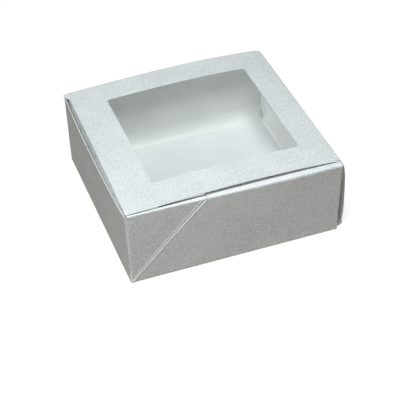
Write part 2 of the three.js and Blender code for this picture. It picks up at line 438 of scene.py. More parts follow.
@dataclass
class Sheet:
    """A thin sheet: a grid of points on one face, and a thickness behind it.

    The thickness is one for the whole sheet, or one for each point. The named rims are folds, which
    keep the print; the others are cut edges. A ring's last column joins its first.
    """

    name: str
    grid: Array
    thickness: float | Array
    out: Point
    wear: Optional[Array] = None
    folds: frozenset[Rim] = frozenset()
    ring: bool = False

    def normals(self) -> tuple[Array, bool]:
        """Unit normals of the grid, on the side that its points are the face of.

        Returns:
            The normals, and whether the grid's own turn was against them.
        """
        if self.ring:
            wrapped = np.concatenate([self.grid[:, -1:], self.grid, self.grid[:, :1]], axis=1)
            across = np.gradient(wrapped, axis=1)[:, 1:-1]
        else:
            across = np.gradient(self.grid, axis=1)
        normal = np.cross(np.gradient(self.grid, axis=0), across)
        normal /= np.linalg.norm(normal, axis=2, keepdims=True)
        quarter = max(1, len(normal) // 4)
        against = float(np.dot(normal[:quarter].mean(axis=(0, 1)), self.out)) < 0.0
        return (-normal if against else normal), against

    def polygons(self) -> tuple[list[list[int]], list[int]]:
        """The faces of the closed sheet.

        Returns:
            The faces' corner numbers, and the faces' material slots.
        """
        rows, columns = self.grid.shape[:2]
        number = np.arange(rows * columns).reshape(rows, columns)
        if self.ring:
            number = np.concatenate([number, number[:, :1]], axis=1)
        behind = number + rows * columns
        quads = np.stack([number[:-1, :-1], number[1:, :-1], number[1:, 1:], number[:-1, 1:]], axis=-1)
        front = quads.reshape(-1, 4)
        back = (quads + rows * columns)[..., ::-1].reshape(-1, 4)
        edges = {
            Rim.FIRST_ROW: (number[0], behind[0]),
            Rim.LAST_ROW: (number[-1][::-1], behind[-1][::-1]),
        }
        if not self.ring:
            edges[Rim.FIRST_COLUMN] = (number[:, 0][::-1], behind[:, 0][::-1])
            edges[Rim.LAST_COLUMN] = (number[:, -1], behind[:, -1])
        faces = front.tolist() + back.tolist()
        slots = [Face.PRINT.value] * len(front) + [Face.INSIDE.value] * len(back)
        for rim, (near, far) in edges.items():
            strip = np.stack([near[:-1], near[1:], far[1:], far[:-1]], axis=-1).tolist()
            faces.extend(strip)
            slots.extend([Face.PRINT.value if rim in self.folds else Face.CORE.value] * len(strip))
        return faces, slots

    def build(self, materials: Sequence[Material]) -> Object:
        """Make the sheet's object, with sharp rims and the wear of its print, which on roll tops and curled
        corners also carries a painted highlight.

        A fold that lies on the floor keeps its thickness above the floor.

        Args:
            materials: The materials of the face, the back and the cut edges, or one for all.

        Returns:
            The object, linked into the scene.
        """
        normal, against = self.normals()
        behind = self.grid - normal * self.thickness
        behind[..., 2] = np.abs(behind[..., 2])
        points = np.concatenate([self.grid, behind]).reshape(-1, 3)
        faces, slots = self.polygons()
        if against:
            faces = [face[::-1] for face in faces]
        mesh = bpy.data.meshes.new(self.name)
        mesh.from_pydata(points.tolist(), [], faces)
        broad = 2 * (len(self.grid) - 1) * (self.grid.shape[1] - (not self.ring))
        mesh.polygons.foreach_set("use_smooth", [number < broad for number in range(len(faces))])
        for face in mesh.polygons[broad:]:
            for corner in face.loop_indices:
                mesh.edges[mesh.loops[corner].edge_index].use_edge_sharp = True
        for material in materials:
            mesh.materials.append(material)
        if len(materials) > 1:
            mesh.polygons.foreach_set("material_index", slots)
        worn = np.zeros(len(points), np.float32)
        if self.wear is not None:
            worn[: self.wear.size] = self.wear.ravel()
        mesh.attributes.new(WEAR, "FLOAT", "POINT").data.foreach_set("value", worn)
        mesh.update()
        piece = bpy.data.objects.new(self.name, mesh)
        bpy.context.scene.collection.objects.link(piece)
        return piece


def upright_plate(node: str, name: str, side: Side, x: Array, bottom: Array, top: Array) -> Sheet:
    """A flat upright plate between two lines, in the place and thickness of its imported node.

    Args:
        node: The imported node.
        name: The plate's name.
        side: The side that its face looks to.
        x: The places along the plate.
        bottom: The height of its lower edge at each place.
        top: The height of its upper edge.

    Returns:
        The plate.
    """
    low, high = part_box(node)
    z = between(bottom, top, np.linspace(0.0, 1.0, len(x))[:, None])
    outer = low.y if side is Side.FRONT else high.y
    return Sheet(name, grid_of(x, outer, z), high.y - low.y, (0, side.value, 0))


def place(piece: Object, node: str, body: str) -> None:
    """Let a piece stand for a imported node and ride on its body.

    Args:
        piece: The finished piece.
        node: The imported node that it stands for.
        body: The body that it rides on.
    """
    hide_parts(node)
    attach(piece, body)
    LOG.info("%s stands for %s on %s", piece.name, node, body)


def join_fold(piece: Object, bodies: tuple[str, str]) -> None:
    """Bake a fold's place into its mesh and log the two bodies that it lies between.

    Args:
        piece: The finished fold.
        bodies: The body before the fold and the body after it.
    """
    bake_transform(piece)
    LOG.info("%s bends between %s and %s", piece.name, *bodies)


class NodeSheet:
    """A small hand for laying out shader nodes in one tree."""

    def __init__(self, tree: NodeTree) -> None:
        """Take hold of a tree."""
        self.tree = tree

    def add(self, kind: str, inputs: Optional[dict[object, object]] = None, **settings: object) -> Node:
        """Add a node.

        Args:
            kind: The node's type.
            inputs: Values or output sockets for its inputs, by socket name or number.
            settings: The node's own settings.

        Returns:
            The node.
        """
        node = self.tree.nodes.new(kind)
        for key, value in settings.items():
            setattr(node, key, value)
        self.fill(node, inputs or {})
        return node

    def fill(self, node: Node, inputs: dict[object, object]) -> None:
        """Link output sockets to a node's inputs, or set the inputs' values.

        Args:
            node: The node.
            inputs: The values or output sockets, by the inputs' names or numbers.
        """
        for key, value in inputs.items():
            if isinstance(value, Socket):
                self.tree.links.new(value, node.inputs[key])
            else:
                node.inputs[key].default_value = value

    def where(self) -> Socket:
        """The place on the piece, in metres."""
        return self.add("ShaderNodeTexCoord").outputs["Object"]

    def noise(self, where: Socket, scale: object, detail: float = 2.0) -> Node:
        """A cloudy noise."""
        return self.add("ShaderNodeTexNoise", {"Vector": where, "Scale": scale, "Detail": detail})

    def bumped(self, height: Socket, distance: float) -> Socket:
        """The normals of a relief."""
        return self.add("ShaderNodeBump", {"Height": height, "Distance": distance}).outputs["Normal"]

    def maths(self, operation: str, first: object, second: object) -> Socket:
        """The result of an operation on two values or sockets."""
        return self.add("ShaderNodeMath", {0: first, 1: second}, operation=operation).outputs[0]

    def mapped(self, value: Socket, source: Span = UNIT, target: Span = UNIT) -> Socket:
        """A value carried smoothly from one range to another."""
        inputs = {"Value": value, **dict(zip(RANGE_INPUTS, (*source, *target)))}
        return self.add("ShaderNodeMapRange", inputs, interpolation_type="SMOOTHSTEP").outputs["Result"]

    def mixed(self, share: Socket, first: object, second: object) -> Socket:
        """A colour between two colours or sockets.

        Args:
            share: The share of the second colour.
            first: The first colour or socket.
            second: The second colour or socket.

        Returns:
            The colour's socket.
        """
        colours = [(*colour, 1.0) if isinstance(colour, tuple) else colour for colour in (first, second)]
        node = self.add("ShaderNodeMix", dict(zip(MIX_INPUTS, (share, *colours))), data_type="RGBA")
        return node.outputs[MIX_RESULT]


@dataclass
class Effects:
    """The surface effects that several finishes share, as shader node groups.

    A noise is given by its scale and its detail.
    """

    ragged: float = 0.9 * MM
    pebble: Span = (0.0, 0.3)
    fine_times: float = 2.3
    fine_share: float = 0.5
    drift_noise: Span = (45.0, 3.0)
    fibre_draw: Point = (1.0, 2.2, 1.6)
    fibre_noise: Span = (900.0, 4.0)
    fibre_share: float = 0.6
    cloud_noise: Span = (60.0, 2.0)
    tint: Span = (0.5, 1.1)
    chip_noise: Span = (1300.0, 3.0)
    chip_share: float = 0.7
    bare: Span = (0.5, 1.15)

    def __post_init__(self) -> None:
        """Build each group once."""
        self.emboss = self.emboss_group()
        self.fibre = self.fibre_group()
        self.rubbing = self.rubbing_group()

    @staticmethod
    def new_group(name: str, inputs: dict[str, str], outputs: Sequence[str]) -> tuple[NodeTree, NodeSheet]:
        """Start a group.

        Args:
            name: The group's name.
            inputs: The kinds of its inputs, by name.
            outputs: The names of its outputs, which are values.

        Returns:
            The group, and a hand for laying out its nodes.
        """
        tree = bpy.data.node_groups.new(name, "ShaderNodeTree")
        for key, kind in inputs.items():
            tree.interface.new_socket(key, in_out="INPUT", socket_type=kind)
        for key in outputs:
            tree.interface.new_socket(key, in_out="OUTPUT", socket_type="NodeSocketFloat")
        return tree, NodeSheet(tree)

    def emboss_group(self) -> NodeTree:
        """A pebbled emboss: rounded cells parted by fine valleys, with a broad unevenness.

        Returns:
            The group.
        """
        inputs = {"Place": "NodeSocketVector", "Cells per Metre": "NodeSocketFloat"}
        tree, nodes = self.new_group("pebble_emboss", inputs, ("Height", "Valley", "Drift"))
        given = nodes.add("NodeGroupInput").outputs
        where, scale = given["Place"], given["Cells per Metre"]
        ragged = nodes.noise(where, scale).outputs["Color"]
        shift = nodes.add("ShaderNodeVectorMath", {0: ragged, "Scale": self.ragged}, operation="SCALE")
        moved = nodes.add("ShaderNodeVectorMath", {0: where, 1: shift.outputs[0]}, operation="ADD")
        cell_inputs = {"Vector": moved.outputs[0], "Scale": scale}
        cells = nodes.add("ShaderNodeTexVoronoi", cell_inputs, feature="DISTANCE_TO_EDGE")
        pebble = nodes.mapped(cells.outputs["Distance"], self.pebble)
        fine = nodes.noise(where, nodes.maths("MULTIPLY", scale, self.fine_times)).outputs["Fac"]
        results = {
            "Height": nodes.maths("ADD", pebble, nodes.maths("MULTIPLY", fine, self.fine_share)),
            "Valley": nodes.mapped(pebble, target=UNIT[::-1]),
            "Drift": nodes.noise(where, *self.drift_noise).outputs["Fac"],
        }
        nodes.add("NodeGroupOutput", results)
        return tree

    def fibre_group(self) -> NodeTree:
        """The faint fibres of uncoated board.

        Returns:
            The group.
        """
        tree, nodes = self.new_group("board_fibre", {"Place": "NodeSocketVector"}, ("Height", "Tint"))
        where = nodes.add("NodeGroupInput").outputs["Place"]
        drawn = nodes.add("ShaderNodeMapping", {"Vector": where, "Scale": self.fibre_draw})
        felt = nodes.noise(drawn.outputs[0], *self.fibre_noise).outputs["Fac"]
        cloud = nodes.noise(where, *self.cloud_noise).outputs["Fac"]
        tone = nodes.maths("ADD", nodes.maths("MULTIPLY", felt, self.fibre_share), cloud)
        nodes.add("NodeGroupOutput", {"Height": felt, "Tint": nodes.mapped(tone, self.tint)})
        return tree

    def rubbing_group(self) -> NodeTree:
        """Print rubbed or cracked away along folds, and painted highlight where the wear carries it, broken
        up by a fine noise.

        Returns:
            The group.
        """
        inputs = {"Place": "NodeSocketVector", "Wear": "NodeSocketFloat"}
        tree, nodes = self.new_group("fold_rubbing", inputs, ("Bare",))
        given = nodes.add("NodeGroupInput").outputs
        chips = nodes.noise(given["Place"], *self.chip_noise).outputs["Fac"]
        broken = nodes.maths("ADD", given["Wear"], nodes.maths("MULTIPLY", chips, self.chip_share))
        nodes.add("NodeGroupOutput", {"Bare": nodes.mapped(broken, self.bare)})
        return tree


def new_material(name: str) -> tuple[Material, NodeSheet, Node]:
    """Start a material.

    Args:
        name: The material's name.

    Returns:
        The material, a hand for laying out its nodes, and its Principled shader.
    """
    material = bpy.data.materials.new(name)
    material.use_nodes = True
    nodes = NodeSheet(material.node_tree)
    return material, nodes, material.node_tree.nodes["Principled BSDF"]


@dataclass(frozen=True)
class SilverPrint:
    """Pearly silver print over a fine pebbled emboss with painted shade in its valleys, rubbed to white
    board along the folds, and whitened on roll tops and curled corners by rubbing and a painted highlight.
    """

    name: str = "silver_print"
    pearl: Colour = (0.85, 0.84, 0.84)
    # The colour that the emboss's valleys are darkened towards: painted shade.
    shade: Colour = (0.52, 0.515, 0.515)
    bare: Colour = (0.95, 0.96, 0.955)
    metal: float = 0.12
    cell: float = 1.7 * MM
    relief: float = 0.17 * MM
    # How far the valleys take on their painted shade, drifting at random.
    depth: Span = (0.44, 0.64)
    rough: Span = (0.42, 0.56)
    bare_rough: float = 0.2

    def material(self, effects: Effects) -> Material:
        """The print as a material, with the shared effects laid in.

        Args:
            effects: The shared effects.

        Returns:
            The material.
        """
        material, nodes, shader = new_material(self.name)
        where = nodes.where()
        pebbles = {"Place": where, "Cells per Metre": 1.0 / self.cell}
        emboss = nodes.add("ShaderNodeGroup", pebbles, node_tree=effects.emboss).outputs
        worn = nodes.add("ShaderNodeAttribute", attribute_name=WEAR).outputs["Fac"]
        rubbing = nodes.add("ShaderNodeGroup", {"Place": where, "Wear": worn}, node_tree=effects.rubbing)
        bare = rubbing.outputs["Bare"]
        # Painted shade in the emboss's valleys, deeper or fainter with a broad random drift.
        depth = nodes.mapped(emboss["Drift"], NOISE_SPAN, self.depth)
        painted_valley_shaded = nodes.mixed(nodes.maths("MULTIPLY", emboss["Valley"], depth), self.pearl, self.shade)
        rough = nodes.mapped(emboss["Valley"], UNIT, self.rough)
        # The bare white is rubbed print, and on roll tops and curled corners also a painted highlight.
        surface = {
            "Base Color": nodes.mixed(bare, painted_valley_shaded, self.bare),
            "Metallic": nodes.mapped(bare, UNIT, (self.metal, 0.0)),
            "Roughness": nodes.maths("ADD", rough, nodes.maths("MULTIPLY", bare, self.bare_rough)),
            "Normal": nodes.bumped(emboss["Height"], self.relief),
        }
        nodes.fill(shader, surface)
        return material


@dataclass(frozen=True)
class PlainBoard:
    """Uncoated board: the pale inside of the carton, its floor in painted shade, or its cut edges."""

    name: str
    light: Colour
    dark: Colour
    roughness: float
    relief: float
    rough_swing: float = 0.08
    fibre_span: Span = (0.2, 0.8)

    def material(self, effects: Effects) -> Material:
        """The bare board as a material.

        Args:
            effects: The shared effects.

        Returns:
            The material.
        """
        material, nodes, shader = new_material(self.name)
        fibre = nodes.add("ShaderNodeGroup", {"Place": nodes.where()}, node_tree=effects.fibre).outputs
        rough = (self.roughness - self.rough_swing, self.roughness + self.rough_swing)
        surface = {
            "Base Color": nodes.mixed(fibre["Tint"], self.dark, self.light),
            "Roughness": nodes.mapped(fibre["Height"], self.fibre_span, rough),
            "Normal": nodes.bumped(fibre["Height"], self.relief),
        }
        nodes.fill(shader, surface)
        return material


@dataclass(frozen=True)
class ClearFilm:
    """Thin clear film with a faint haze, and a painted reflection: the pale film grows more opaque at a
    glance.
    """

    tint: Colour = (0.93, 0.96, 0.96)
    haze: float = 0.03
    # How opaque the pale film grows at a glance: a painted reflection.
    glance: float = 0.35
    glance_blend: float = 0.25
    cloud: Span = (-0.01, 0.02)
    cloud_scale: float = 40.0
    rough: Span = (0.06, 0.14)
    relief: float = 0.3 * MM

    def material(self) -> Material:
        """The film as a material that lets the lamps through.

        Returns:
            The material.
        """
        material, nodes, shader = new_material("clear_film")
        drift = nodes.noise(nodes.where(), self.cloud_scale).outputs["Fac"]
        edge = nodes.add("ShaderNodeLayerWeight", {"Blend": self.glance_blend})
        # Haze where the film is faced, and a painted reflection as it grows opaque at a glance.
        haze_and_painted_reflection = nodes.mapped(edge.outputs["Facing"], UNIT, (self.haze, self.glance))
        surface = {
            "Alpha": nodes.maths("ADD", haze_and_painted_reflection, nodes.mapped(drift, NOISE_SPAN, self.cloud)),
            "Base Color": (*self.tint, 1.0),
            "Roughness": nodes.mapped(drift, NOISE_SPAN, self.rough),
            "Normal": nodes.bumped(drift, self.relief),
        }
        nodes.fill(shader, surface)
        return material


@dataclass(frozen=True)
class DriedGlue:
    """A dried line of glue: satin, a little yellow, uneven in thickness."""

    thick: Colour = (0.80, 0.75, 0.62)
    thin: Colour = (0.88, 0.86, 0.80)
    lump_scale: float = 320.0
    rough: Span = (0.28, 0.45)
    relief: float = 0.1 * MM

    def material(self) -> Material:
        """The glue as a material.

        Returns:
            The material.
        """
        material, nodes, shader = new_material("dried_glue")
        lumps = nodes.noise(nodes.where(), self.lump_scale).outputs["Fac"]
        share = nodes.mapped(lumps, NOISE_SPAN)
        surface = {
            "Base Color": nodes.mixed(share, self.thick, self.thin),
            "Roughness": nodes.mapped(share, UNIT, self.rough),
            "Normal": nodes.bumped(lumps, self.relief),
        }
        nodes.fill(shader, surface)
        return material


@dataclass
class Base:
    """The base panel, printed below, with the box's floor on its inside in painted shade."""

    carton: Carton
    palette: Palette
    inset: float = 1.35 * MM
    hinge_foot: float = 1.3 * MM
    corner_cut: float = 0.6 * MM
    step: float = 8 * MM

    def build(self) -> None:
        """Make the panel and set it on the tray."""
        c = self.carton
        reach_x, reach_y = c.half_length - self.inset, c.half_width - self.inset
        y = stations((-reach_y, self.corner_cut - reach_y, reach_y - self.corner_cut, reach_y), self.step)
        short = np.clip(self.corner_cut - (reach_y - np.abs(y)), 0.0, self.corner_cut)[:, None]
        share = np.linspace(0.0, 1.0, round(2 * reach_x / self.step))
        x = between(short - reach_x, reach_x - self.hinge_foot - short, share)
        sheet = Sheet("base_board", grid_of(x, y[:, None], 0.0), c.board, (0, 0, -1))
        place(sheet.build(self.palette.floor_board), "base_panel", "tray")


@dataclass
class EndWall:
    """A single-ply end wall with its glue or dust tabs, folded up from the base."""

    carton: Carton
    spring: Spring
    palette: Palette
    end: End
    half_width: float
    top: float
    corner: float
    foot: float
    foot_tail: float = 0.4 * MM
    tail_gap: float = 0.6 * MM
    tail_length: float = 9.0 * MM
    tail_share: float = 0.9
    tail_foot: float = 1.0 * MM
    corner_square: float = 0.95
    corner_blend: float = 2.5
    curl: float = 2.6 * MM
    curl_height: float = 2.6 * MM
    curl_reach: float = 2.4 * MM
    # How much the crumpled foot corner is whitened: rubbed print and a painted highlight.
    curl_rub_and_highlight: float = 0.9
    fold_rub: float = 0.35
    fold_rub_place: float = 0.4
    fold_rub_reach: float = 0.5
    tab_points: int = 12
    tab_taper: float = 0.16
    tab_least: float = 1 * MM
    step: float = 4 * MM
    arc_steps: int = 6

    @property
    def hinge(self) -> bool:
        """Whether this is the wall that carries the lid."""
        return self.end is End.HINGE

    def out(self, y: Array, z: Array) -> Array:
        """How far the outer face stands out from the carton's end."""
        return self.spring.hinge_out(y, z) if self.hinge else self.spring.closing_out(y, z)

    def across(self) -> tuple[Array, Array, Array]:
        """The wall's section from corner to corner.

        The closing wall's corners run into the gussets. The hinge wall's corners run on as tails: the
        front one turns back along the wall, and the back one turns in along the rolled wall.

        Returns:
            The places across, how far in they lie, and the share of the wall's spring that they take.
        """
        round_in, round_y = corner_arc(self.corner, self.arc_steps)
        flank = stations((self.corner, self.half_width), self.step)[1:]
        inward = np.concatenate([round_in, np.zeros(len(flank))])
        half = np.concatenate([round_y, flank]) - self.half_width
        share = np.ones(len(half)) if self.hinge else 1.0 - inward / self.corner
        y = np.concatenate([half, -half[-2::-1]])
        inward = np.concatenate([inward, inward[-2::-1]])
        share = np.concatenate([share, share[-2::-1]])
        if self.hinge:
            y = np.concatenate([[y[0] + self.tail_length], y, [y[-1] + self.tail_gap]])
            inward = np.concatenate([[self.tail_gap], inward, [self.tail_length]])
            share = np.concatenate([[self.tail_share], share, [0.0]])
        return y, inward, share

    def build(self) -> None:
        """Make the wall and both its tabs, and set them on the tray."""
        place(self.wall(), f"{self.end.word}_wall", "tray")
        for side in Side:
            place(self.tab(side), f"{self.end.word}_tab_{side.word}", "tray")

    def wall(self) -> Object:
        """The wall, round at its foot and at its two upright folds.

        Returns:
            The wall's object.
        """
        inward, height = foot_section(self.foot, self.foot_tail, self.top, self.step, self.arc_steps)
        y, across_in, share = self.across()
        z = np.repeat(height, len(y), axis=1)
        if self.hinge:
            z[:, [0, -1]] = self.tail_foot + z[:, [0, -1]] * (1.0 - self.tail_foot / self.top)
        from_middle, edge = np.abs(y), self.half_width
        near_corner = ease(from_middle, edge - self.corner_blend * self.corner, edge - self.corner)
        curled = near_corner * hump(z, self.curl_height, self.curl_reach)
        out = (self.out(y, z) + self.curl * curled * self.hinge) * share
        rounded = 1.0 - self.corner_square * near_corner * (not self.hinge)
        x = self.carton.half_length + out - inward * rounded - across_in
        fold_at, fold_reach = edge - self.fold_rub_place * self.corner, self.fold_rub_reach * self.corner
        wear = np.maximum(self.fold_rub * hump(from_middle, fold_at, fold_reach), foot_rub(z, self.foot))
        # Whitens the crumpled foot corner: rubbed print and a painted highlight.
        wear = np.maximum(wear, self.curl_rub_and_highlight * curled)
        grid = grid_of(self.end.value * x, y, z)
        sheet = Sheet(f"{self.end.word}_wall_board", grid, self.carton.board, (self.end.value, 0, 0), wear)
        return sheet.build(self.palette.board)

    def tab(self, side: Side) -> Object:
        """One tab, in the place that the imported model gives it.

        Args:
            side: The side that the tab lies on.

        Returns:
            The tab's object.
        """
        node = f"{self.end.word}_tab_{side.word}"
        low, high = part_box(node)
        fold_x, free_x = (high.x, low.x) if self.hinge else (low.x, high.x)
        x = np.linspace(fold_x, free_x, self.tab_points)
        run = np.abs(x - fold_x)
        taper = (high.z - low.z) * self.tab_taper * run / run[-1]
        top = high.z - taper * self.hinge
        bottom = np.minimum(low.z + (taper if self.hinge else run), top - self.tab_least)
        return upright_plate(node, f"{node}_board", side, x, bottom, top).build(self.palette.board)


@dataclass
class RolledSide:
    """A wall rolled over into an inner wall, with the gusset that folds its corner in.

    A diagonal crease parts the gusset from the wall. The gusset ends in a narrow hem, and the wall
    in a wider rail that carries the inner wall.
    """

    carton: Carton
    spring: Spring
    palette: Palette
    side: Side
    foot: float = 0.9 * MM
    foot_tail: float = 0.4 * MM
    right_inset: float = 2.0 * MM
    right_lean: float = 2.5 * MM
    wall_columns: int = 36
    gusset_inset: float = 2.0 * MM
    gusset_clear: float = 0.4 * MM
    gusset_first: float = 6 * MM
    gusset_room: float = 0.8
    gusset_columns: int = 16
    gusset_ridge: Span = (-1 * MM, 3 * MM)
    crease_low: float = 0.7 * MM
    crease_high: float = 1.3 * MM
    crease_power: float = 1.3
    groove: float = 0.42 * MM
    ridge: float = 0.22 * MM
    ridge_from: float = 0.3 * MM
    tip_height: float = 2.2 * MM
    tip_curl: float = 0.55 * MM
    tip_reach: float = 1.5 * MM
    round_left: float = 1.15 * MM
    round_right: float = 2.0 * MM
    round_from: float = -60 * MM
    round_to: float = 25 * MM
    # How much the roll's upper face is whitened: rubbed print and a painted highlight.
    roll_rub_and_highlight: float = 0.2
    roll_rub_and_highlight_span: Span = (0.9, 0.3)
    inner_round: float = 0.7 * MM
    bead: float = 2.4 * MM
    bead_middle: float = 14 * MM
    bead_reach: float = 46 * MM
    half_crease: float = 0.15 * MM
    hem_backing: float = 59.4 * MM
    hem_gap: float = 0.2 * MM
    hem_step: float = 0.1 * MM
    inner_rows: int = 14
    end_reach: float = 0.4 * MM
    end_follow: float = 0.85
    end_from: float = 15 * MM
    bend: float = 16 * MM
    flange_board: float = 0.12 * MM
    flange_clear: float = 0.05 * MM
    flange_more: float = 2.8 * MM
    flange_rows: int = 5
    inward_tilt: float = 0.5
    glue_points: int = 10
    glue_cut: float = 0.8
    step: float = 4 * MM
    arc_steps: int = 6

    @property
    def word(self) -> str:
        """The side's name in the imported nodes."""
        return self.side.word

    def box(self, part: str) -> tuple[Vector, Vector]:
        """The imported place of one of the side's nodes."""
        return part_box(f"{self.word}_{part}")

    def crease_half(self, z: Array) -> Array:
        """Half the distance between the two ridges of the diagonal crease, wider towards its top."""
        return between(self.crease_low, self.crease_high, self.spring.rise(z) ** self.crease_power)

    def crease_x(self, z: Array) -> Array:
        """Where the diagonal crease lies at a height."""
        return -self.carton.half_length + np.maximum(z, self.tip_height) - self.box("wall")[0].z

    def near_tip(self, x: Array, z: Array) -> Array:
        """A share that is 1 at the diagonal crease's foot and fades around it."""
        from_tip = (x - self.crease_x(np.zeros(1))[0]) ** 2 + (z - self.tip_height) ** 2
        return np.exp(-from_tip / (2 * self.tip_reach**2))

    def face(self, x: Array, z: Array) -> Array:
        """How far out the rolled wall's outer face lies, with the small curl at the crease's foot."""
        return self.carton.half_width + self.spring.side_out(x, z) + self.tip_curl * self.near_tip(x, z)

    def roll_radius(self, x: Array) -> Array:
        """The radius of the wall's rolled top edge, softer towards the hinge end."""
        return between(self.round_left, self.round_right, ease(x, self.round_from, self.round_to))

    def roll_bead(self, x: Array) -> Array:
        """How far the roll's inner edge swells into the box, most where the lid's arch leaves it room."""
        return self.bead * hump(x, self.bead_middle, self.bead_reach)

    def build(self) -> None:
        """Make the side's pieces and set each on its body."""
        tray = {"wall": self.wall, "gusset": self.gusset, "gusset_hem": self.hem, "rail": self.rail}
        inner = {"inner_wall": self.inner_wall, "floor_flange": self.floor_flange}
        for body, parts in {"tray": tray, f"{self.word}_inner_wall": inner}.items():
            for part, make in parts.items():
                place(make(), f"{self.word}_{part}", body)
        place(self.glue(), f"{self.word}_gusset_glue", "tray")

    def grid(self, x: Array, y: Array, z: Array) -> Array:
        """A grid of the side's places, with y counted outwards from the box's middle."""
        return grid_of(x, self.side.value * y, z)

    def outer_sheet(self, part: str, grid: Array, wear: Array) -> Object:
        """A sheet whose printed face looks out of the box."""
        sheet = Sheet(f"{self.word}_{part}_board", grid, self.carton.board, (0, self.side.value, 0), wear)
        return sheet.build(self.palette.board)

    def inner_sheet(self, part: str, grid: Array, thickness: float, *folds: Rim) -> Object:
        """A sheet whose printed face looks into the box, with some of its rims folded on.

        Args:
            part: The piece's name on its side.
            grid: Its places.
            thickness: Its thickness.
            folds: The rims that are folds.

        Returns:
            The sheet's object.
        """
        out = (0, -self.side.value, self.inward_tilt)
        sheet = Sheet(f"{self.word}_{part}_board", grid, thickness, out, folds=frozenset(folds))
        # The print that looks into the box is a darker, warmer copy: painted shade.
        return sheet.build(self.palette.shaded_rolled_board)

    def crease(self, marks: Sequence[CreaseMark], z: Array) -> tuple[Array, Array, Array]:
        """The lines of points along the diagonal crease.

        Args:
            marks: The lines.
            z: The heights, as a column.

        Returns:
            How far along the wall the lines lie from the crease's middle, how far each stands on the
            board, and how worn its print is.
        """
        half = self.crease_half(z)
        inner = half - self.groove
        offsets = [mark.ridge * half + mark.groove * inner + mark.beyond for mark in marks]
        lift = np.array([mark.lift for mark in marks]) * self.ridge
        worn = np.array([mark.worn for mark in marks])
        return np.concatenate(offsets, axis=1) * DIAGONAL, lift, worn

    def wall(self) -> Object:
        """The outer wall, from its round foot to the rail, with a ridge along the diagonal crease.

        Returns:
            The wall's object.
        """
        c = self.carton
        top = c.height - self.round_right
        inward, z = foot_section(self.foot, self.foot_tail, top, self.step / 2, self.arc_steps)
        offsets, lift, worn = self.crease(WALL_CREASE, z)
        beside = offsets + self.crease_x(z)
        right = c.half_length - self.right_inset + self.right_lean * z / c.height
        share = np.linspace(0.0, 1.0, self.wall_columns)[1:]
        x = np.concatenate([beside, between(beside[:, -1:], right, share)], axis=1)
        z = z + (self.round_right - self.roll_radius(x)) * z / top
        plain = np.zeros(len(share))
        raised = np.concatenate([lift, plain]) * ease(z, self.ridge_from, self.tip_height)
        wear = np.maximum(np.concatenate([worn, plain]), foot_rub(z, self.foot))
        wear = np.maximum(wear, self.near_tip(x, z))
        return self.outer_sheet("wall", self.grid(x, self.face(x, z) + raised - inward, z), wear)

    def gusset(self) -> Object:
        """The gusset's outer ply, a triangle that hangs from the hem.

        Returns:
            The gusset's object.
        """
        top = self.carton.height - self.round_right
        left = -self.carton.half_length + self.gusset_inset
        low = self.tip_height + self.gusset_inset + self.gusset_clear
        z = stations((low, low + self.gusset_first, top), self.step / 2)[:, None]
        crease_x = self.crease_x(z)
        offsets, lift, worn = self.crease(GUSSET_CREASE, z)
        beside = crease_x - offsets * np.minimum(1.0, self.gusset_room * (crease_x - left) / offsets[:, :1])
        share = np.linspace(0.0, 1.0, self.gusset_columns)[:-1]
        x = np.concatenate([between(left, beside[:, :1], share), beside], axis=1)
        z = z + (self.round_right - self.roll_radius(x)) * (z - low) / (top - low)
        plain = np.zeros(len(share))
        raised = np.concatenate([plain, lift]) * ease(z - low, *self.gusset_ridge)
        wear = np.broadcast_to(np.concatenate([plain, worn]), x.shape)
        return self.outer_sheet("gusset", self.grid(x, self.face(x, z) + raised, z), wear)

    def roll(self, part: str, x: Array, foot: float, bead: Array) -> Object:
        """A roll over the wall's top: up the outer face, across, and down the inner face.

        Args:
            part: The piece's name on its side.
            x: The places along the wall.
            foot: The height at which the inner leg ends.
            bead: How far the roll's inner edge swells into the box.

        Returns:
            The roll's object.
        """
        low, high = self.box(part)
        height, radius, small = self.carton.height, self.roll_radius(x), self.inner_round
        inner = self.carton.half_width - (high.y - low.y)
        base, shoulder = height - radius, height - small
        turn = np.linspace(0.0, RIGHT_ANGLE, self.arc_steps + 1)[:, None]
        drop = stations((shoulder, foot), self.step / 4)[1:, None]
        rows = [
            (self.face(x, base) - radius + radius * np.cos(turn), base + radius * np.sin(turn)),
            (inner - bead + small - small * np.sin(turn), shoulder + small * np.cos(turn)),
            (inner - bead * (drop - foot) / (shoulder - foot), drop),
        ]
        along = np.zeros(len(x))
        y, z = (np.concatenate([places + along for places in column]) for column in zip(*rows))
        # The roll's upper face is whitened as rubbed print and a painted highlight.
        dull, bright = (height - share * radius for share in self.roll_rub_and_highlight_span)
        wear = self.roll_rub_and_highlight * ease(z, dull, bright) * (y > inner - bead + small)
        return self.outer_sheet(part, self.grid(x, y, z), wear)

    def hem(self) -> Object:
        """The gusset's top edge, folded over the glued tab.

        Returns:
            The hem's object.
        """
        low, high = self.box("gusset_hem")
        x = stations((low.x, high.x), self.step)
        return self.roll("gusset_hem", x, low.z, np.zeros(len(x)))

    def rail(self) -> Object:
        """The wall's wide rolled top.

        Returns:
            The rail's object.
        """
        end = self.carton.half_length - self.right_inset + self.right_lean
        x = stations((self.box("rail")[0].x, end), self.step)
        foot = self.box("inner_wall")[1].z + self.half_crease
        return self.roll("rail", x, foot, self.roll_bead(x))

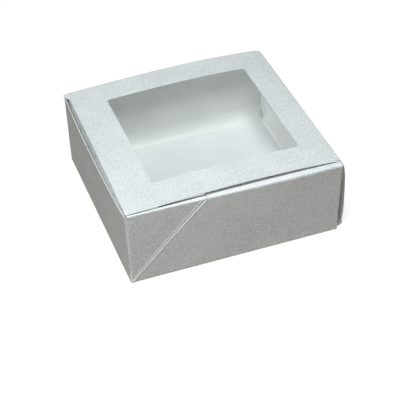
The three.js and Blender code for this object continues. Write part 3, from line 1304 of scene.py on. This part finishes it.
    def inner_section(self) -> tuple[Array, Array]:
        """The foot of the inner wall's section, around its bend and along the flange to its tip.

        The middle of the bend is the point numbered with the steps of an arc.

        Returns:
            How far out the points lie, and their heights, as columns.
        """
        low, high = self.box("inner_wall")
        flange_low, flange_high = self.box("floor_flange")
        wall = min(abs(low.y), abs(high.y))
        tip = min(abs(flange_low.y), abs(flange_high.y))
        tip_z = self.carton.board + self.flange_board + self.flange_clear
        slant = math.atan2(wall - tip, flange_high.z - tip_z)
        start = flange_high.z + self.bend * math.tan(slant / 2)
        turn = np.linspace(0.0, slant, 2 * self.arc_steps + 1)
        arc_y, arc_z = wall - self.bend * (1.0 - np.cos(turn)), start - self.bend * np.sin(turn)
        share = np.linspace(0.0, 1.0, self.flange_rows)[1:]
        y = np.concatenate([arc_y, between(arc_y[-1], tip, share)])
        z = np.concatenate([arc_z, between(arc_z[-1], tip_z, share)])
        return y[:, None], z[:, None]

    def inner_wall(self) -> Object:
        """The inner wall, from the rail's crease down to the middle of the bend at its foot.

        Returns:
            The inner wall's object.
        """
        low, high = self.box("inner_wall")
        hem_end = self.box("rail")[0].x - self.hem_gap
        x = stations((low.x, hem_end - self.hem_step, hem_end + self.hem_step, high.x), self.step)
        y, z = (places[: self.arc_steps + 1] for places in self.inner_section())
        top = np.where(x < hem_end, self.hem_backing, high.z + self.half_crease)
        share = np.linspace(1.0, 0.0, self.inner_rows)[:-1, None]
        rows_z = np.concatenate([between(z[0], top, share), np.repeat(z, len(x), axis=1)])
        rows_y = np.concatenate([np.repeat(y[:1], len(share), axis=0), y])
        sprung = self.spring.hinge_out(y[0], rows_z)
        reach = (self.end_reach + self.end_follow * sprung) * (self.side is Side.BACK)
        rows_x = x + reach * ease(x, high.x - self.end_from, high.x)
        grid = self.grid(rows_x, rows_y, rows_z)
        return self.inner_sheet("inner_wall", grid, self.carton.board, Rim.LAST_ROW)

    def floor_flange(self) -> Object:
        """The inner wall's lower edge, bent in over the base and sprung up from it.

        Returns:
            The flange's object.
        """
        low, high = self.box("floor_flange")
        y, z = (places[self.arc_steps :] for places in self.inner_section())
        grid = self.grid(stations((low.x, high.x + self.flange_more), self.step), y, z)
        return self.inner_sheet("floor_flange", grid, self.flange_board, Rim.FIRST_ROW, Rim.LAST_ROW)

    def glue(self) -> Object:
        """The glue between the gusset and the closing wall's tab.

        Returns:
            The glue's object.
        """
        node = f"{self.word}_gusset_glue"
        low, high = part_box(node)
        x = np.linspace(low.x, high.x, self.glue_points)
        bottom = low.z + np.minimum(x - low.x, self.glue_cut * (high.z - low.z))
        return upright_plate(node, f"{node}_film", self.side, x, bottom, high.z).build([self.palette.glue])


@dataclass
class Lid:
    """The arched lid with its window, its hinge fold and the tuck flap at its free edge.

    The film's glue is given by the margin and corner radius of its outer and inner edges, and by the
    waves that it wanders in.
    """

    carton: Carton
    spring: Spring
    palette: Palette
    hinge_round: float = 1.1 * MM
    hinge_flat: float = 1.9 * MM
    hinge_rows: int = 4
    hinge_inset: float = 1.0 * MM
    fold_round: float = 0.5 * MM
    fold_length: float = 3.4 * MM
    fold_draw: float = 0.6 * MM
    fold_skew: float = 0.0115
    fold_bow: float = 0.4 * MM
    fold_hold: Span = (0.05, 0.9)
    fold_steps: int = 10
    lean_back: float = math.radians(12.0)
    lean_front: float = math.radians(16.0)
    lean_span: Span = (-40 * MM, 60 * MM)
    lean_power: int = 10
    flap_depth: float = 22 * MM
    flap_inward: float = 2.3 * MM
    flap_inward_power: int = 3
    flap_straight: float = 17 * MM
    flap_taper: float = 4 * MM
    flap_round: float = 9 * MM
    flap_rows: int = 18
    flap_spacing: Span = (-1.0, 1.0)
    corner_back: float = 4.2 * MM
    corner_front: float = 1.2 * MM
    corner_from: float = 68 * MM
    corner_radius: float = 1 * MM
    ear_droop: float = 0.7 * MM
    front_reach: float = 0.8 * MM
    front_reach_span: Span = (0.0, 70 * MM)
    edge_band: float = 3 * MM
    pressed: float = 0.75
    window_radius: float = 2 * MM
    across: int = 14
    across_spacing: Span = (-0.15, 1.15)
    counts: tuple[int, int] = (44, 8)
    film_lap: float = 10 * MM
    film_board: float = 0.2 * MM
    film_gap: float = 0.4 * MM
    ripple: float = 0.12 * MM
    ripple_waves: Span = (17 * MM, 23 * MM)
    glue_outer: Span = (7 * MM, 6 * MM)
    glue_inner: Span = (3 * MM, 5 * MM)
    glue_waves: tuple[Wave, ...] = (Wave(0.12, 23, 0.0), Wave(0.08, 41, 1.0))
    glue_rows: int = 5
    glue_board: float = 0.2 * MM
    glue_gap: float = 0.1 * MM
    step: float = 4 * MM

    @property
    def top(self) -> float:
        """The height of the printed face at the lid's edges."""
        return self.carton.lid_under + self.carton.board

    @property
    def hinge_x(self) -> float:
        """Where the hinge wall's outer face meets the lid's top, before the fold rounds it."""
        return self.carton.half_length + self.spring.hinge_lean

    @property
    def panel_end(self) -> float:
        """Where the hinge fold's flat part ends and the panel begins."""
        return self.hinge_x - self.hinge_round - self.hinge_flat

    @property
    def flap_length(self) -> float:
        """The flap's length from its sharp corner with the lid."""
        return self.flap_depth + self.carton.board

    def fold_x(self, y: Array) -> Array:
        """Where the tuck flap's outer face meets the lid's top, before the fold rounds it."""
        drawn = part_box("tuck_flap")[0].x + self.fold_draw
        return drawn + self.fold_skew * y - self.fold_bow * (y / self.carton.half_width) ** 2

    def lean(self, y: Array) -> Array:
        """How far the sprung flap leans out below its fold, more towards the front."""
        ends = 1.0 - np.clip(np.abs(y) / self.carton.half_width, 0.0, 1.0) ** self.lean_power
        return between(self.lean_back, self.lean_front, ease(-y, *self.lean_span)) * ends

    def run_out(self, y: Array) -> Array:
        """How far from the sharp corner the tuck fold begins, on the lid and on the flap alike."""
        return self.fold_round * np.tan((RIGHT_ANGLE - self.lean(y)) / 2)

    def height(self, x: Array, y: Array) -> Array:
        """The height of the lid's printed face."""
        return self.top + self.spring.lid_rise(x, y)

    def build(self) -> None:
        """Make the lid's pieces, set all but the two folds on their bodies, and build the folds in place.
        """
        place(self.panel(), "lid_panel", "lid")
        place(self.film(), "window_film", "lid")
        place(self.film_glue(), "film_glue", "lid")
        place(self.flap(), "tuck_flap", "tuck_flap")
        self.join_hinge_fold()
        self.join_tuck_fold()

    def window(self) -> tuple[Array, Array]:
        """The window's least and greatest x and y, from the film that laps it."""
        low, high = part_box("window_film")
        return np.array([low.x, low.y]) + self.film_lap, np.array([high.x, high.y]) - self.film_lap

    def panel(self) -> Object:
        """The panel around the window, as a ring from its outer edge to the window.

        Its free edge stands out and droops at its two ears, and its front and back edges are pressed.

        Returns:
            The panel's object.
        """
        low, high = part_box("lid_panel")
        outer = rounded_loop((low.x, low.y), (self.panel_end, high.y), self.corner_radius, self.counts)
        y = outer[:, 1].copy()
        left = fade(outer[:, 0] - low.x, self.edge_band)
        spread = np.where(y > 0.0, self.corner_back, self.corner_front)
        spread = spread * ease(np.abs(y), self.corner_from, self.carton.half_width)
        outer[:, 0] += (self.fold_x(y) + self.run_out(y) - spread - low.x) * left
        front = fade(y - low.y, self.edge_band)
        outer[:, 1] -= self.front_reach * front * ease(-outer[:, 0], *self.front_reach_span)
        window = rounded_loop(*self.window(), self.window_radius, self.counts)
        plan = between(outer, window, eased_steps(self.across, *self.across_spacing)[:, None, None])
        grid = grid_of(plan[..., 0], plan[..., 1], self.height(plan[..., 0], plan[..., 1]))
        grid[0, :, 2] -= self.ear_droop * spread / self.corner_back * left
        thickness = np.full((*grid.shape[:2], 1), self.carton.board)
        from_side = np.minimum(outer[:, 1] - outer[:, 1].min(), outer[:, 1].max() - outer[:, 1])
        thickness[0, :, 0] *= 1.0 - self.pressed * fade(from_side, self.edge_band)
        return Sheet("lid_panel_board", grid, thickness, UP, ring=True).build(self.palette.board)

    def film(self) -> Object:
        """The clear film under the window, held to the lid's arch and very slightly rippled.

        Returns:
            The film's object.
        """
        low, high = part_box("window_film")
        x = stations((low.x, high.x), self.step)
        y = stations((low.y, high.y), self.step)[:, None]
        ripple = self.ripple * np.sin(x / self.ripple_waves[0]) * np.sin(y / self.ripple_waves[1])
        z = self.height(x, y) - self.carton.board - self.film_gap + ripple - self.ripple
        sheet = Sheet("window_film_sheet", grid_of(x, y, z), self.film_board, UP)
        return sheet.build([self.palette.film])

    def film_glue(self) -> Object:
        """The line of glue that holds the film, wandering a little in width.

        Returns:
            The glue's object.
        """
        low, high = self.window()
        outer, inner = (
            rounded_loop(low - margin, high + margin, radius, self.counts)
            for margin, radius in (self.glue_outer, self.glue_inner)
        )
        turn = np.linspace(0.0, 2 * math.pi, len(outer), endpoint=False)
        wander = sum(wave.depth * np.sin(wave.count * turn + wave.start) for wave in self.glue_waves)
        share = np.linspace(0.0, 1.0, self.glue_rows)[:, None, None]
        plan = between(outer, inner, share + wander[None, :, None] * (1.0 - 2.0 * share))
        x, y = plan[..., 0], plan[..., 1]
        grid = grid_of(x, y, self.height(x, y) - self.carton.board - self.glue_gap)
        return Sheet("film_glue_line", grid, self.glue_board, UP, ring=True).build([self.palette.glue])

    def flap_columns(self) -> Array:
        """The places across the tuck flap at its fold."""
        low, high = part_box("tuck_flap")
        return stations((low.y, 0.0, high.y), self.step)

    def flap_section(self, along: Array, y: Array) -> tuple[Array, Array]:
        """The tuck flap's outer face: straight below its fold, then held back by the closing wall.

        Args:
            along: How far down the flap, from its sharp corner with the lid.
            y: The places across the flap.

        Returns:
            The x and z of the places.
        """
        held = np.cos(RIGHT_ANGLE * np.clip(along / self.flap_straight, 0.0, 1.0) ** 2)
        inward = self.flap_inward * (along / self.flap_length) ** self.flap_inward_power
        x = self.fold_x(y) - along * held * np.sin(self.lean(y)) + inward
        return x, self.top - along * np.cos(self.lean(y))

    def flap(self) -> Object:
        """The tuck flap, tapered, with round lower corners.

        Returns:
            The flap's object.
        """
        y = self.flap_columns()
        half = y[-1]
        share = eased_steps(self.flap_rows, *self.flap_spacing)[:, None]
        along = between(self.fold_length, self.flap_length, share)
        past = np.clip(along - (self.flap_length - self.flap_round), 0.0, self.flap_round)
        cut = self.flap_round - np.sqrt(np.maximum(self.flap_round**2 - past**2, 0.0))
        reach = half - self.flap_taper * share - cut
        x, z = self.flap_section(along, y)
        grid = grid_of(x, reach * (y / half), z)
        return Sheet("tuck_flap_board", grid, self.carton.board, (-1, 0, 0)).build(self.palette.board)

    def fold(self, name: str, grid: Array, out: Point) -> Object:
        """A sheet that runs on into its neighbours at its first and last rows."""
        folds = frozenset({Rim.FIRST_ROW, Rim.LAST_ROW})
        return Sheet(name, grid, self.carton.board, out, folds=folds).build(self.palette.board)

    def join_tuck_fold(self) -> None:
        """Make the fold from the lid into the tuck flap, in place between them."""
        y = self.flap_columns()
        fold, run, radius = self.fold_x(y), self.run_out(y), self.fold_round
        share = np.linspace(0.0, 1.0, self.fold_steps + 1)[:, None]
        turn = share * (RIGHT_ANGLE - self.lean(y))
        rise = self.spring.lid_rise(fold + run, y) * (1.0 - share)
        round_x = fold + run - radius * np.sin(turn)
        round_z = self.top + rise - radius * (1.0 - np.cos(turn))
        below = between(run, self.fold_length, np.linspace(0.0, 1.0, self.fold_steps)[1:, None])
        below_x, below_z = self.flap_section(below, y)
        grid = grid_of(np.concatenate([round_x, below_x]), y, np.concatenate([round_z, below_z]))
        piece = self.fold("tuck_fold_board", grid, (-1, 0, 1))
        join_fold(piece, ("lid", "tuck_flap"))

    def join_hinge_fold(self) -> None:
        """Make the tight fold from the hinge wall into the lid, in place between them."""
        low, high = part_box("hinge_wall")
        y = stations((low.y + self.hinge_inset, high.y - self.hinge_inset), self.step)
        radius = self.hinge_round
        turn = np.linspace(0.0, RIGHT_ANGLE, self.fold_steps + 1)
        flat = np.linspace(0.0, self.hinge_flat, self.hinge_rows)[1:]
        x = np.concatenate([radius * np.cos(turn), -flat])[:, None] + self.hinge_x - radius
        rise = np.concatenate([radius * np.sin(turn), np.full(len(flat), radius)])[:, None]
        share = ease(-x, -self.hinge_x, -self.panel_end)
        z = self.top - radius + rise + self.spring.lid_rise(np.full(1, self.panel_end), y) * share
        piece = self.fold("hinge_fold_board", grid_of(x, y, z), (1, 0, 1))
        join_fold(piece, ("tray", "lid"))


@dataclass(frozen=True)
class Lamp:
    """A soft square lamp that looks at the box."""

    name: str
    energy: float
    spot: Point
    size: float
    colour: Colour = (0.89, 0.98, 1.0)

    def build(self) -> None:
        """Hang the lamp."""
        light = bpy.data.lights.new(self.name, "AREA")
        light.shape = "SQUARE"
        light.size = self.size
        light.energy = self.energy
        light.color = self.colour
        lamp = bpy.data.objects.new(self.name, light)
        lamp.location = self.spot
        lamp.rotation_euler = Vector(self.spot).to_track_quat("Z", "Y").to_euler()
        bpy.context.scene.collection.objects.link(lamp)


@dataclass(frozen=True)
class Studio:
    """A pale floor, soft lamps and a camera at the photograph's angle.

    The lamps hang overhead, a little to the front and left, at the left, and low behind the box.
    """

    azimuth: float = math.radians(-17.754)
    elevation: float = math.radians(38.484)
    roll: float = math.radians(-2.908)
    distance: float = 1059.4 * MM
    sideways: float = -0.016 * MM
    upwards: float = -6.126 * MM
    lens: float = 124.9
    sensor: float = 36.0
    floor_size: float = 6.0
    floor_drop: float = 0.2 * MM
    floor_colour: Colour = (0.335, 0.285, 0.25)
    floor_rough: float = 0.9
    floor_white: float = 0.80
    sky_colour: Colour = (1.0, 0.98, 0.94)
    sky_strength: float = 0.02
    lamps: tuple[Lamp, ...] = (
        Lamp("overhead", energy=10.65, spot=(-0.14, -0.345, 0.93), size=0.34),
        Lamp("fill", energy=2.5, spot=(-0.76, -0.26, 0.66), size=0.5),
        Lamp("behind", energy=0.8, spot=(0.64, 0.70, 0.14), size=0.5),
    )

    def build(self) -> None:
        """Set up the floor, the lamps, the world and the camera."""
        self.floor()
        for lamp in self.lamps:
            lamp.build()
        self.world()
        self.camera()
        bpy.context.scene.view_settings.view_transform = "Standard"

    def seen_directly(self, nodes: NodeSheet) -> Socket:
        """A mask of what the camera sees, straight or through clear film."""
        path = nodes.add("ShaderNodeLightPath").outputs
        return nodes.maths("MAXIMUM", path["Is Camera Ray"], path["Is Transmission Ray"])

    def floor(self) -> None:
        """A broad pale floor that keeps the box's shadow and otherwise shows white."""
        half = self.floor_size / 2
        corners = [(-half, -half, 0), (half, -half, 0), (half, half, 0), (-half, half, 0)]
        mesh = bpy.data.meshes.new("floor")
        mesh.from_pydata(corners, [], [(0, 1, 2, 3)])
        floor = bpy.data.objects.new("floor", mesh)
        bpy.context.scene.collection.objects.link(floor)
        floor.location.z = -self.floor_drop
        material, nodes, shader = new_material("pale_floor")
        surface = {
            "Base Color": (*self.floor_colour, 1.0),
            "Roughness": self.floor_rough,
            "Specular IOR Level": 0.0,
            "Emission Color": (*WHITE, 1.0),
            "Emission Strength": nodes.maths("MULTIPLY", self.seen_directly(nodes), self.floor_white),
        }
        nodes.fill(shader, surface)
        mesh.materials.append(material)

    def world(self) -> None:
        """A dim even sky that the camera sees as white."""
        world = bpy.data.worlds.new("studio")
        world.use_nodes = True
        bpy.context.scene.world = world
        nodes = NodeSheet(world.node_tree)
        share = self.seen_directly(nodes)
        sky = {
            "Color": nodes.mixed(share, self.sky_colour, WHITE),
            "Strength": nodes.mapped(share, UNIT, (self.sky_strength, 1.0)),
        }
        nodes.fill(world.node_tree.nodes["Background"], sky)

    def camera(self) -> None:
        """The camera, at the angle and distance fitted to the photograph's corners."""
        across = Vector((math.cos(self.azimuth), math.sin(self.azimuth), 0.0))
        level, rise = math.cos(self.elevation), math.sin(self.elevation)
        back = Vector((math.sin(self.azimuth) * level, -math.cos(self.azimuth) * level, rise))
        up = back.cross(across)
        right = across * math.cos(self.roll) + up * math.sin(self.roll)
        top = up * math.cos(self.roll) - across * math.sin(self.roll)
        spot = back * self.distance + right * self.sideways + top * self.upwards
        lens = bpy.data.cameras.new("camera")
        lens.lens = self.lens
        lens.sensor_width = self.sensor
        camera = bpy.data.objects.new("camera", lens)
        turned = Matrix((right, top, back)).transposed().to_4x4()
        camera.matrix_world = Matrix.Translation(spot) @ turned
        bpy.context.scene.collection.objects.link(camera)
        bpy.context.scene.camera = camera


def make_palette() -> Palette:
    """Build every finish once.

    Returns:
        The finished materials.
    """
    effects = Effects()
    # A darker, warmer copy of the silver print, for the print that looks into the box: painted shade.
    rolled = SilverPrint(
        name="rolled_print",
        pearl=(0.71, 0.70, 0.665),
        shade=(0.61, 0.60, 0.57),
        relief=0.05 * MM,
    )
    inside = PlainBoard(
        name="pale_inside",
        light=(0.93, 0.92, 0.90),
        dark=(0.89, 0.88, 0.86),
        roughness=0.40,
        relief=0.02 * MM,
    )
    # A darker copy of the pale inside, for the box's floor: painted shade.
    floor = PlainBoard(
        name="box_floor",
        light=(0.68, 0.67, 0.67),
        dark=(0.64, 0.63, 0.63),
        roughness=0.60,
        relief=0.02 * MM,
    )
    core = PlainBoard(
        name="board_core",
        light=(0.64, 0.63, 0.62),
        dark=(0.55, 0.54, 0.52),
        roughness=0.85,
        relief=0.05 * MM,
    )
    return Palette(
        print_face=SilverPrint().material(effects),
        shaded_rolled_face=rolled.material(effects),
        inside_face=inside.material(effects),
        shaded_floor_face=floor.material(effects),
        core_edge=core.material(effects),
        film=ClearFilm().material(),
        glue=DriedGlue().material(),
    )


def main() -> None:
    """Build the box, piece by piece, and the studio around it."""
    logging.basicConfig(level=logging.INFO, format="%(name)s: %(message)s")
    carton = Carton.from_frame()
    spring = Spring(carton)
    palette = make_palette()
    lid = Lid(carton, spring, palette)
    Base(carton, palette).build()
    EndWall(
        carton,
        spring,
        palette,
        End.CLOSING,
        half_width=carton.half_width,
        top=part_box("closing_wall")[1].z,
        corner=2.0 * MM,
        foot=0.9 * MM,
    ).build()
    EndWall(
        carton,
        spring,
        palette,
        End.HINGE,
        half_width=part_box("hinge_wall")[1].y - HINGE_WALL_INSET,
        top=lid.top - lid.hinge_round,
        corner=0.7 * MM,
        foot=2.2 * MM,
    ).build()
    for side in Side:
        RolledSide(carton, spring, palette, side).build()
    lid.build()
    Studio().build()


if __name__ == "__main__":
    main()
